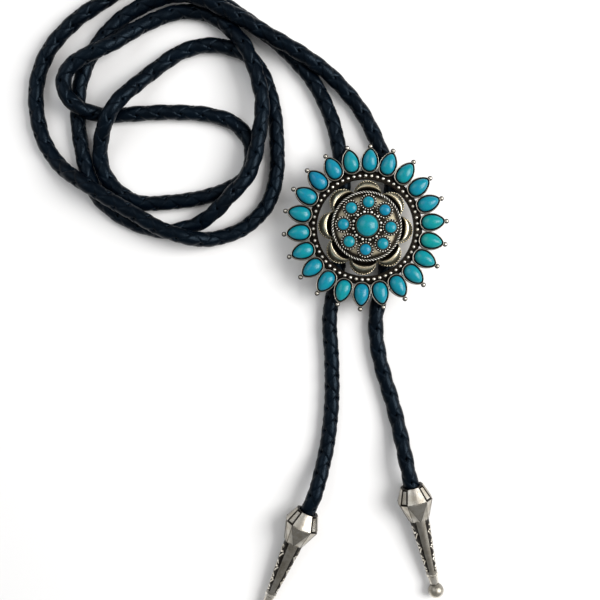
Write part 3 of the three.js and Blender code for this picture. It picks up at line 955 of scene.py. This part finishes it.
CORD_LOW = 2.25  # the height of the cord's middle where it lies on the table
CORD_POINTS: tuple[tuple[float, ...], ...] = (  # in millimetres; those with two numbers are low
    # left tail and the clip's left channel
    (-8.6, -74.4, 4.7), (-7.6, -69.4, 3.2), (-6.8, -64, 2.35), (-6.3, -52.1), (-7.1, -39.4),
    (-8.5, -26.4, 2.4), (-7.1, -14, 3.15), (-7, -6, 3.25), (-7, 6, 3.25),
    # neck and outer loop
    (-7.1, 14, 3.15), (-8.7, 22.4, 2.6), (-11.4, 31.5), (-16.4, 40.9), (-19.6, 45), (-27.1, 52.1),
    (-38.6, 59.9), (-51.8, 67.1), (-59.7, 69.3), (-68.7, 69.3), (-76.8, 66.1), (-83.4, 61.3),
    (-89, 56.9), (-96.8, 47), (-99.8, 35.4), (-97.2, 21.7), (-92, 14, 2.6),
    # over the bundle
    (-86.9, 10.2, 5), (-81.4, 7.2, 7), (-75.1, 3.7, 6.9), (-67.8, 0.1, 6.9), (-59.7, -3.9, 6.9),
    (-51.6, -6, 6.5), (-48.1, -6.2, 4.6), (-44.5, -5.7, 2.9),
    # first loop
    (-36.2, -2.3), (-29.9, 4.1), (-27.8, 9.1), (-26.9, 15.6), (-27.2, 21.9), (-29, 34), (-33, 44.2),
    (-36.4, 48.3), (-40.5, 50.6), (-49.1, 51.7), (-57.3, 49.2), (-65.7, 42.6, 2.5), (-69.4, 38.6, 4.1),
    (-73, 34.2, 6.4), (-75.4, 30.4, 7.6), (-77.2, 26.7, 7.2), (-78.6, 23, 5.3), (-79.4, 19.6, 3.2),
    (-79.5, 16.2, 2.35),
    # inner strand
    (-77.7, 11.3), (-73.8, 6.9), (-67.5, 3.8), (-58.6, 4.3), (-46.9, 6.9), (-39.6, 10.2), (-36.4, 12.9),
    (-34.9, 16.4), (-35.2, 23), (-40, 28.7), (-47.8, 31), (-59.1, 31.1), (-65.6, 30.5),
    (-75.8, 29.2, 2.35),
    # hairpin
    (-80.2, 28.8, 3.6), (-83.4, 29.2, 5.5), (-86.4, 30.4, 6.9), (-89.2, 33, 7.1), (-90.4, 36.6, 7.1),
    (-89.6, 40.2, 7.1), (-87, 43.2, 7.1), (-82.7, 46, 7.1), (-78.7, 48.2, 6.8), (-75.6, 50.6, 5.6),
    (-72.8, 53.2, 4.2), (-69.6, 55.9, 2.9),
    # second loop
    (-61.2, 60.3), (-55.4, 61.3), (-49.3, 60.4, 2.5), (-45.1, 57.9, 3.4), (-41.8, 54.8, 5.1),
    (-38.6, 51.1, 6.8), (-36.5, 47.5, 7.1), (-34.8, 43.8, 7), (-32.3, 35.1, 6.9), (-32.6, 25.1, 6.9),
    (-34.2, 15.5, 6.9), (-36.3, 11.2, 6.9), (-39.8, 7.1, 6.9), (-43.2, 3.1, 5.8), (-46.8, 0, 4),
    (-50.1, -1.9, 2.6), (-57.5, -4.2), (-65.4, -3.4), (-73.3, -0.2), (-79.7, 5),
    # up the left
    (-83, 11.4), (-85.1, 18.3), (-86.8, 27.1), (-87.1, 36), (-84.9, 44.8), (-80.7, 52.3), (-75, 58.6),
    (-66.8, 63.6, 2.6), (-61.9, 64.9, 4.2), (-56.8, 64.9, 6), (-51.8, 63.7, 7), (-46.8, 61.8, 7.4),
    # back to the neck
    (-41.1, 59.3, 7.3), (-35.4, 56.4, 7), (-30, 53.7, 6.9), (-25.5, 51.5, 6.9), (-21.3, 49.4, 6.5),
    (-16.7, 47, 5), (-12.2, 44.2, 3.3), (-3.5, 35.6), (2.7, 25.2, 2.5), (7.1, 14, 3.15),
    # the clip's right channel and the right tail
    (7, 6, 3.25), (7, -6, 3.25), (6.9, -14, 3.15), (5.2, -26.1, 2.4), (6.8, -37), (11.7, -51, 2.3),
    (14, -58.2, 3), (15.7, -64.6, 4.6),
)


@dataclass
class BraidedCord:
    """One round braid of four leather thongs from the left tip to the right one, in metres."""

    length: float = 1.0
    diameter: float = 0.0043
    pitch: float = 0.0132  # one thong once round the cord
    roll: float = math.pi / 4  # so that both hands show from above
    rise: float = 0.0001  # the bumps of the braid stand this much prouder than the plain cord
    lay_radius: float = 0.00122
    over: float = 0.00018
    half_width: float = 0.00182
    half_thickness: float = 0.00096
    furrow_shade: float = 0.25  # where the painted shade is deepest and where it ends, against the diameter
    crest: float = 0.44
    sections: int = 1560
    corners: int = 10
    step: float = 0.001  # between the points of the line that is handed over

    def line(self) -> list[Vector]:
        """The centreline, as close points of one smooth centripetal curve."""
        knots = [p * MM for p in LEFT_TIP.cord_end()]
        for x, y, *z in CORD_POINTS:
            knots.append(Vector([value * MM for value in (x, y, *(z or [CORD_LOW]))]))
        knots += [p * MM for p in reversed(RIGHT_TIP.cord_end())]
        ends = [2 * knots[0] - knots[1], *knots, 2 * knots[-1] - knots[-2]]
        points = []
        for p0, p1, p2, p3 in zip(ends, ends[1:], ends[2:], ends[3:]):
            d0, d1, d2 = (math.sqrt((b - a).length) for a, b in ((p0, p1), (p1, p2), (p2, p3)))
            t1 = ((p1 - p0) / d0 - (p2 - p0) / (d0 + d1) + (p2 - p1) / d1) * d1
            t2 = ((p2 - p1) / d1 - (p3 - p1) / (d1 + d2) + (p3 - p2) / d2) * d1
            count = max(2, round((p2 - p1).length / self.step))
            for i in range(count):
                t = i / count
                a, b = 2 * t**3 - 3 * t**2 + 1, t**3 - 2 * t**2 + t
                c, d = 3 * t**2 - 2 * t**3, t**3 - t**2
                points.append(a * p1 + b * t1 + c * p2 + d * t2)
        return [*points, knots[-1]]

    def build(self, look: Material) -> tuple[Object, list[Vector]]:
        """Braids the cord.

        Args:
            look: the leather.

        Returns:
            The cord and its centreline.
        """
        strands = [
            Strand(Hand.RIGHT, self.roll, 0.0), Strand(Hand.RIGHT, self.roll + math.pi, 0.0),
            Strand(Hand.LEFT, self.roll, math.pi), Strand(Hand.LEFT, self.roll + math.pi, math.pi),
        ]
        line = self.line()
        real = sum((b - a).length for a, b in zip(line, line[1:]))
        path = path_object("cord_path", [p + Vector((0, 0, self.rise)) for p in line])
        values = {
            "Path": path, "Sections": self.sections, "Corners": self.corners, "Material": look,
            "Turns": real / self.pitch, "Lay radius": self.lay_radius, "Over and under": self.over,
            "Half width": self.half_width, "Half thickness": self.half_thickness,
            "Dark radius": self.diameter * self.furrow_shade, "Light radius": self.diameter * self.crest,
        }
        cord = grow("braided_cord", strand_tree("round_braid", strands), values)
        bpy.data.objects.remove(path)
        settle(cord, Slot.LEATHER, "cord")
        LOG.info("cord length %.4f m", real)
        return cord, line


# --- Concho ---


def on_row(radius: float, n: int, count: int) -> Matrix:
    """Where the nth of count pieces stands in a ring, in millimetres, the first towards +Y."""
    return Matrix.Rotation(-TURN * n / count, 4, "Z") @ Matrix.Translation((0, radius, 0))


@dataclass
class Concho:
    """The silver sunburst: 22 bezel cups on a ring, grain beads, eight petals and a hub."""

    rows: Rows
    back: float = 6.8
    plate: float = 7.8
    cups: int = 22
    cup_row: float = 19.45
    cup_long: float = 3.7
    cup_wide: float = 2.62
    wall: float = 0.36
    rim: float = 9.1
    point: float = 0.27
    outline: int = 40
    stone_gap: float = 0.61  # from the cup's outer wall to the stone
    stone_low: float = 8.05
    girdle: float = 8.95
    dome: float = 1.55
    ring_in: float = 14.03
    ring_out: float = 16.23
    grains: int = 55
    grain_row: float = 15.13
    grain_r: float = 0.5
    ball_r: float = 0.72
    ball_row: float = 23.69
    ball_z: float = 7.58
    petals: int = 8
    petal_row: float = 9.3
    petal_shift: float = 0.2  # the petal's widest place outside its row
    petal_outer: float = 4.3
    petal_inner: float = 6.1
    petal_wide: float = 4.0
    petal_sides: int = 72
    petal_beads: int = 17
    petal_bead_r: float = 0.3
    hub_r: float = 8.6
    hub_top: float = 11.7
    tones: tuple[int, ...] = (4, 4, 6, 4, 4, 7, 8, 6, 5, 4, 4, 3, 6, 4, 4, 5, 5, 5, 4, 2, 3, 6)

    def pear(self, inset: float, z: float, share: float = 1.0) -> list[Vector]:
        """A pear outline, its narrow end towards +Y.

        Args:
            inset: how far inside the cup's outer wall.
            z: its height.
            share: its size against the full outline.

        Returns:
            The ring of points.
        """
        long, wide = (self.cup_long - inset) * share, (self.cup_wide - inset) * share
        points = []
        for i in range(self.outline):
            t = math.pi / 2 + TURN * i / self.outline
            out = math.sin(t)
            narrow = 1 - self.point * 0.5 * (out + out * abs(out))
            points.append(Vector((wide * math.cos(t) * narrow, long * out, z)))
        return points

    def cup(self) -> Shell:
        """One bezel cup."""
        shell = Shell("cup")
        levels = [
            (0.3, self.back, 0.35), (0.06, self.back + 0.05, 0.3), (0.0, self.back + 0.2, 0.8),
            (0.0, self.plate + 0.5, 1.0), (0.01, self.rim - 0.3, 1.0), (0.04, self.rim - 0.12, 0.75),
            (0.08, self.rim - 0.02, 0.42), (0.13, self.rim, 0.3), (0.19, self.rim - 0.03, 0.65),
            (0.26, self.rim - 0.12, 1.1),
            (self.wall, self.rim - 0.3, 1.0), (self.wall + 0.02, self.stone_low + 0.3, 1.0),
        ]
        rings = [[Vector((0, 0, self.back))]]
        rings += [self.pear(inset, z) for inset, z, _ in levels]
        rings.append([Vector((0, 0, self.stone_low))])
        shell.loft(rings, [0.35, *(dark for _, _, dark in levels), 1.0])
        return shell

    def stone(self, name: str) -> Shell:
        """One pear cabochon that fills its cup."""
        shell = Shell(name)
        inset = self.stone_gap
        rings = [[Vector((0, 0, self.stone_low + 0.02))], self.pear(inset, self.stone_low + 0.02)]
        dark = [1.0, 1.0]
        for i in range(10):
            lean = math.pi / 2 * i / 10
            rings.append(self.pear(inset, self.girdle + self.dome * math.sin(lean), math.cos(lean)))
            # painted shade: the stone darkens towards its girdle
            dark.append(max(0.0, 0.9 - 0.3 * i))
        rings.append([Vector((0, 0, self.girdle + self.dome))])
        shell.loft(rings, [*dark, 0.0])
        return shell

    def petal_ring(self, long: float, wide: float, z: float) -> list[Vector]:
        """One level of a petal, round towards +Y and drawn out under the medallion.

        Args:
            long: its reach from the petal's middle against the full outline.
            wide: its width against the full outline.
            z: its height.

        Returns:
            The ring of points.
        """
        ring = []
        for i in range(self.petal_sides):
            t = TURN * i / self.petal_sides
            reach = self.petal_outer if math.sin(t) > 0 else self.petal_inner
            y = self.petal_shift + reach * long * math.sin(t)
            ring.append(Vector((self.petal_wide * wide * math.cos(t), y, z)))
        return ring

    def petal(self) -> Shell:
        """One petal: a loaf whose crest follows its outline, dished behind it, with a beaded edge."""
        shell = Shell("petal")
        levels = [
            (0.97, 0.97, 6.8, 0.5), (1.0, 1.0, 6.9, 0.6), (1.0, 1.0, 7.4, 0.9), (0.99, 0.99, 7.55, 1.0),
            (0.94, 0.97, 7.6, 1.1), (0.88, 0.955, 8.0, 1.0), (0.845, 0.95, 8.8, 0.75),
            (0.81, 0.945, 9.5, 0.9), (0.765, 0.94, 10.1, 0.65), (0.71, 0.935, 10.65, 0.55),
            (0.65, 0.925, 11.08, 0.25), (0.58, 0.915, 11.33, 0.0), (0.515, 0.905, 11.4, 0.0),
            (0.45, 0.89, 11.34, 0.0), (0.395, 0.87, 11.12, 0.2), (0.355, 0.85, 10.8, 1.0),
            (0.325, 0.84, 10.35, 1.2), (0.22, 0.7, 10.1, 1.2),
        ]
        rings = [[Vector((0, self.petal_shift, 6.8))]]
        rings += [self.petal_ring(long, wide, z) for long, wide, z, _ in levels]
        rings.append([Vector((0, self.petal_shift, 10.0))])
        shell.loft(rings, [0.5, *(dark for *_, dark in levels), 1.0])
        for i in range(self.petal_beads):
            t = math.pi * (i + 0.5) / self.petal_beads
            x, y = self.petal_wide * 0.955 * math.cos(t), self.petal_outer * 0.945 * math.sin(t)
            shell.ball(self.petal_bead_r, (x, self.petal_shift + y, 7.72), 8, 6, 1.0)
        return shell

    def ring_and_hub(self) -> Shell:
        """The plate ring that carries the cups, and the hub under the medallion."""
        shell = Shell("concho_ring")
        low, high, top = self.back, self.plate, self.hub_top
        inner, outer, hub = self.ring_in, self.ring_out, self.hub_r
        ring = [
            (inner + 0.1, low, 0.4), (outer + 0.25, low, 0.4), (outer + 0.35, low + 0.1, 0.6),
            (outer + 0.35, high - 0.1, 1.0), (outer + 0.2, high, 1.1), (inner + 0.3, high, 1.1),
            (inner + 0.12, high, 1.1), (inner, high - 0.12, 1.0), (inner, low + 0.1, 0.8),
        ]
        shell.revolve(ring, 120, loop=True)
        middle = [
            (0, low, 0.4), (hub - 0.15, low, 0.4), (hub, low + 0.15, 0.6),
            (hub, top - 0.2, 1.0), (hub - 0.2, top, 1.0), (0, top, 1.0),
        ]
        shell.revolve(middle, 64)
        return shell

    def build(self, silver: Material, beads: Material, brass: Material, turquoise: Material) -> None:
        """Makes the silver pieces, the brass petals and the 22 stones.

        Args:
            silver: the finish of the ring, the cups and the balls.
            beads: the finish of the grain.
            brass: the finish of the petals.
            turquoise: the stones' finish.
        """
        grain = bead("grain", self.grain_r, self.plate + 0.06, 10)
        ball = bead("ball", self.ball_r, self.ball_z, 14, 12, 2.0, 1.12)
        rows = self.rows
        made = [
            self.ring_and_hub().piece(silver),
            rows.ring("concho_cups", self.cup(), self.cups, self.cup_row, silver, crease=55.0),
            rows.ring("concho_balls", ball, self.cups, self.ball_row, silver),
            rows.ring("concho_grain", grain, self.grains, self.grain_row, beads, 180 / self.grains),
        ]
        for piece in made:
            settle(piece, Slot.SILVER, "concho_body")
        petals = rows.ring("concho_petals", self.petal(), self.petals, self.petal_row, brass, crease=50.0)
        settle(petals, Slot.BRASS, "concho_body")
        for i, tone in enumerate(self.tones):
            number = f"{i + 1:02d}"
            place = on_row(self.cup_row, i, self.cups)
            set_stone(self.stone("pear_cabochon_" + number), "pear_stone_" + number, turquoise, tone, place)


# --- Medallion ---


@dataclass
class Medallion:
    """The brass medallion: domed plate, rope border, eight small stones and a large one."""

    rows: Rows
    under: float = 12.0
    radius: float = 9.75
    edge: float = 12.9
    top: float = 13.5
    rope_row: float = 9.72
    rope_turns: int = 36
    rounds: int = 8
    round_row: float = 6.75
    round_in: float = 1.62
    round_rim: float = 14.1
    round_top: float = 14.9
    centre_in: float = 3.1
    centre_rim: float = 14.9
    centre_top: float = 16.8
    wall: float = 0.14
    round_foot: Pair = (2.42, 13.45)  # radius and height of a small bezel's foot
    centre_foot: Pair = (4.25, 13.85)
    stone_gap: float = 0.03
    rope_lay: float = 0.2
    rope_half: float = 0.14
    rope_dark: float = 0.27  # the patina's deepest and brightest radius
    rope_light: float = 0.335
    collar: BeadRow = BeadRow(0.21, 13.62, 18, 2.14)
    large: BeadRow = BeadRow(0.43, 14.15, 12, 4.0, 15.0)
    small: BeadRow = BeadRow(0.24, 14.1, 12, 3.88)
    tones: tuple[int, ...] = (4, 2, 4, 4, 2, 5, 3, 4)
    centre_tone: float = 5.5

    def plate(self) -> Shell:
        """The domed plate."""
        shell = Shell("medallion_plate")
        rise = self.top - self.edge
        profile = [
            (0, self.under, 0.5), (self.radius - 0.2, self.under, 0.5),
            (self.radius - 0.05, self.under + 0.12, 0.6), (self.radius - 0.05, self.edge - 0.1, 0.8),
            (self.radius - 0.3, self.edge, 1.0),
        ]
        for i, dark in enumerate((1.1, 0.6, 0.62, 0.8, 1.1, 1.2, 1.2, 1.2, 1.2)):
            r = (self.radius - 0.3) * (0.94 - 0.1 * i)
            profile.append((r, self.edge + rise * (1 - (r / self.radius) ** 2), dark))
        shell.revolve([*profile, (0, self.top, 1.1)], 96)
        return shell

    def seat(self, name: str, inner: float, rim: float, foot: Pair, sides: int) -> Shell:
        """One round bezel.

        Args:
            name: the shell's name.
            inner: the radius inside the wall.
            rim: the height of its rim.
            foot: the radius and the height of the foot that carries the beads.
            sides: faces round it.

        Returns:
            The shell.
        """
        outer, low = inner + self.wall, self.edge - 0.3
        reach, top = foot
        profile = [
            (0, low, 1), (reach, low, 1.2), (reach, top, 1.2), (outer, top + 0.05, 1.2),
            (outer, rim - 0.25, 0.9), (outer - 0.03, rim - 0.04, 0.55), (outer - 0.08, rim, 0.5),
            (inner + 0.03, rim - 0.04, 0.8), (inner, rim - 0.22, 1.0), (inner, top - 0.2, 1.0),
            (0, top - 0.2, 1.0),
        ]
        shell = Shell(name)
        shell.revolve(profile, sides)
        return shell

    def cabochon(self, name: str, radius: float, low: float, rim: float, top: float, sides: int) -> Shell:
        """One round cabochon.

        Args:
            name: the shell's name.
            radius: its radius.
            low: the height of its base.
            rim: the height of its bezel's rim.
            top: the height of its crown.
            sides: faces round it.

        Returns:
            The shell.
        """
        shell = Shell(name)
        start = rim - 0.12
        profile = [(0, low, 0), (radius, low, 0)]
        for i in range(12):
            lean = math.pi / 2 * i / 12
            # painted shade: the cabochon darkens towards its bezel
            dark = max(0.0, 0.8 - 0.25 * i)
            profile.append((radius * math.cos(lean), start + (top - start) * math.sin(lean), dark))
        shell.revolve([*profile, (0, top, 0)], sides)
        return shell

    def rope(self, look: Material) -> Object:
        """The twisted rope round the edge."""
        line = [p * MM for p in circle(self.rope_row, self.edge + 0.02, 240)]
        path = path_object("rope_path", line, closed=True)
        strands = [Strand(Hand.RIGHT, 0.0, 0.0), Strand(Hand.RIGHT, math.pi, 0.0)]
        values = {
            "Path": path, "Sections": self.rope_turns * 12, "Corners": 8, "Material": look,
            "Turns": float(self.rope_turns), "Lay radius": self.rope_lay * MM, "Over and under": 0.0,
            "Half width": self.rope_half * MM, "Half thickness": self.rope_half * MM,
            "Dark radius": self.rope_dark * MM, "Light radius": self.rope_light * MM,
        }
        rope = grow("medallion_rope", strand_tree("rope_twist", strands), values)
        bpy.data.objects.remove(path)
        return rope

    def build(self, brass: Material, beads: Material, turquoise: Material) -> None:
        """Makes the brass pieces and the nine stones.

        Args:
            brass: the finish of the plate and the bezels.
            beads: the finish of the rope and the beads.
            turquoise: the stones' finish.
        """
        rows, row = self.rows, self.round_row
        collar = rows.beads("collar", self.collar, beads)
        seat = self.seat("seat", self.round_in, self.round_rim, self.round_foot, 28)
        centre_seat = self.seat("centre_seat", self.centre_in, self.centre_rim, self.centre_foot, 56)
        made = [
            self.plate().piece(brass),
            self.rope(beads),
            rows.ring("round_seats", seat, self.rounds, row, brass),
            rows.ring("round_collars", collar, self.rounds, row, beads),
            centre_seat.piece(brass),
            rows.beads("centre_large_beads", self.large, beads),
            rows.beads("centre_small_beads", self.small, beads),
        ]
        for piece in made:
            settle(piece, Slot.BRASS, "medallion")
        radius, rim, top = self.round_in - self.stone_gap, self.round_rim, self.round_top
        for i, tone in enumerate(self.tones):
            shell = self.cabochon(f"round_cabochon_{i + 1}", radius, 13.2, rim, top, 32)
            set_stone(shell, f"round_stone_{i + 1}", turquoise, tone, on_row(row, i, self.rounds))
        radius = self.centre_in - self.stone_gap
        shell = self.cabochon("centre_cabochon", radius, 13.65, self.centre_rim, self.centre_top, 64)
        set_stone(shell, "centre_stone", turquoise, self.centre_tone)


# --- The whole tie ---


def main() -> None:
    """Builds the scene piece by piece."""
    logging.basicConfig(level=logging.INFO, format="%(name)s: %(message)s")
    studio = Studio()
    studio.camera()
    braid = BraidedCord()
    cord, line = braid.build(LeatherFinish().material())
    silver, brass, beads = (finish.material() for finish in (SILVER, BRASS, BEADS))
    turquoise = StoneFinish().material()
    tips = [tip.build(silver) for tip in (LEFT_TIP, RIGHT_TIP)]
    rows = Rows(row_tree())
    Concho(rows).build(silver, beads, brass, turquoise)
    Medallion(rows).build(brass, beads, turquoise)
    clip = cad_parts["slide_clip"]
    clip.material_slots[0].material = STEEL.material()
    studio.light()
    studio.floor()


if __name__ == "__main__":
    main()
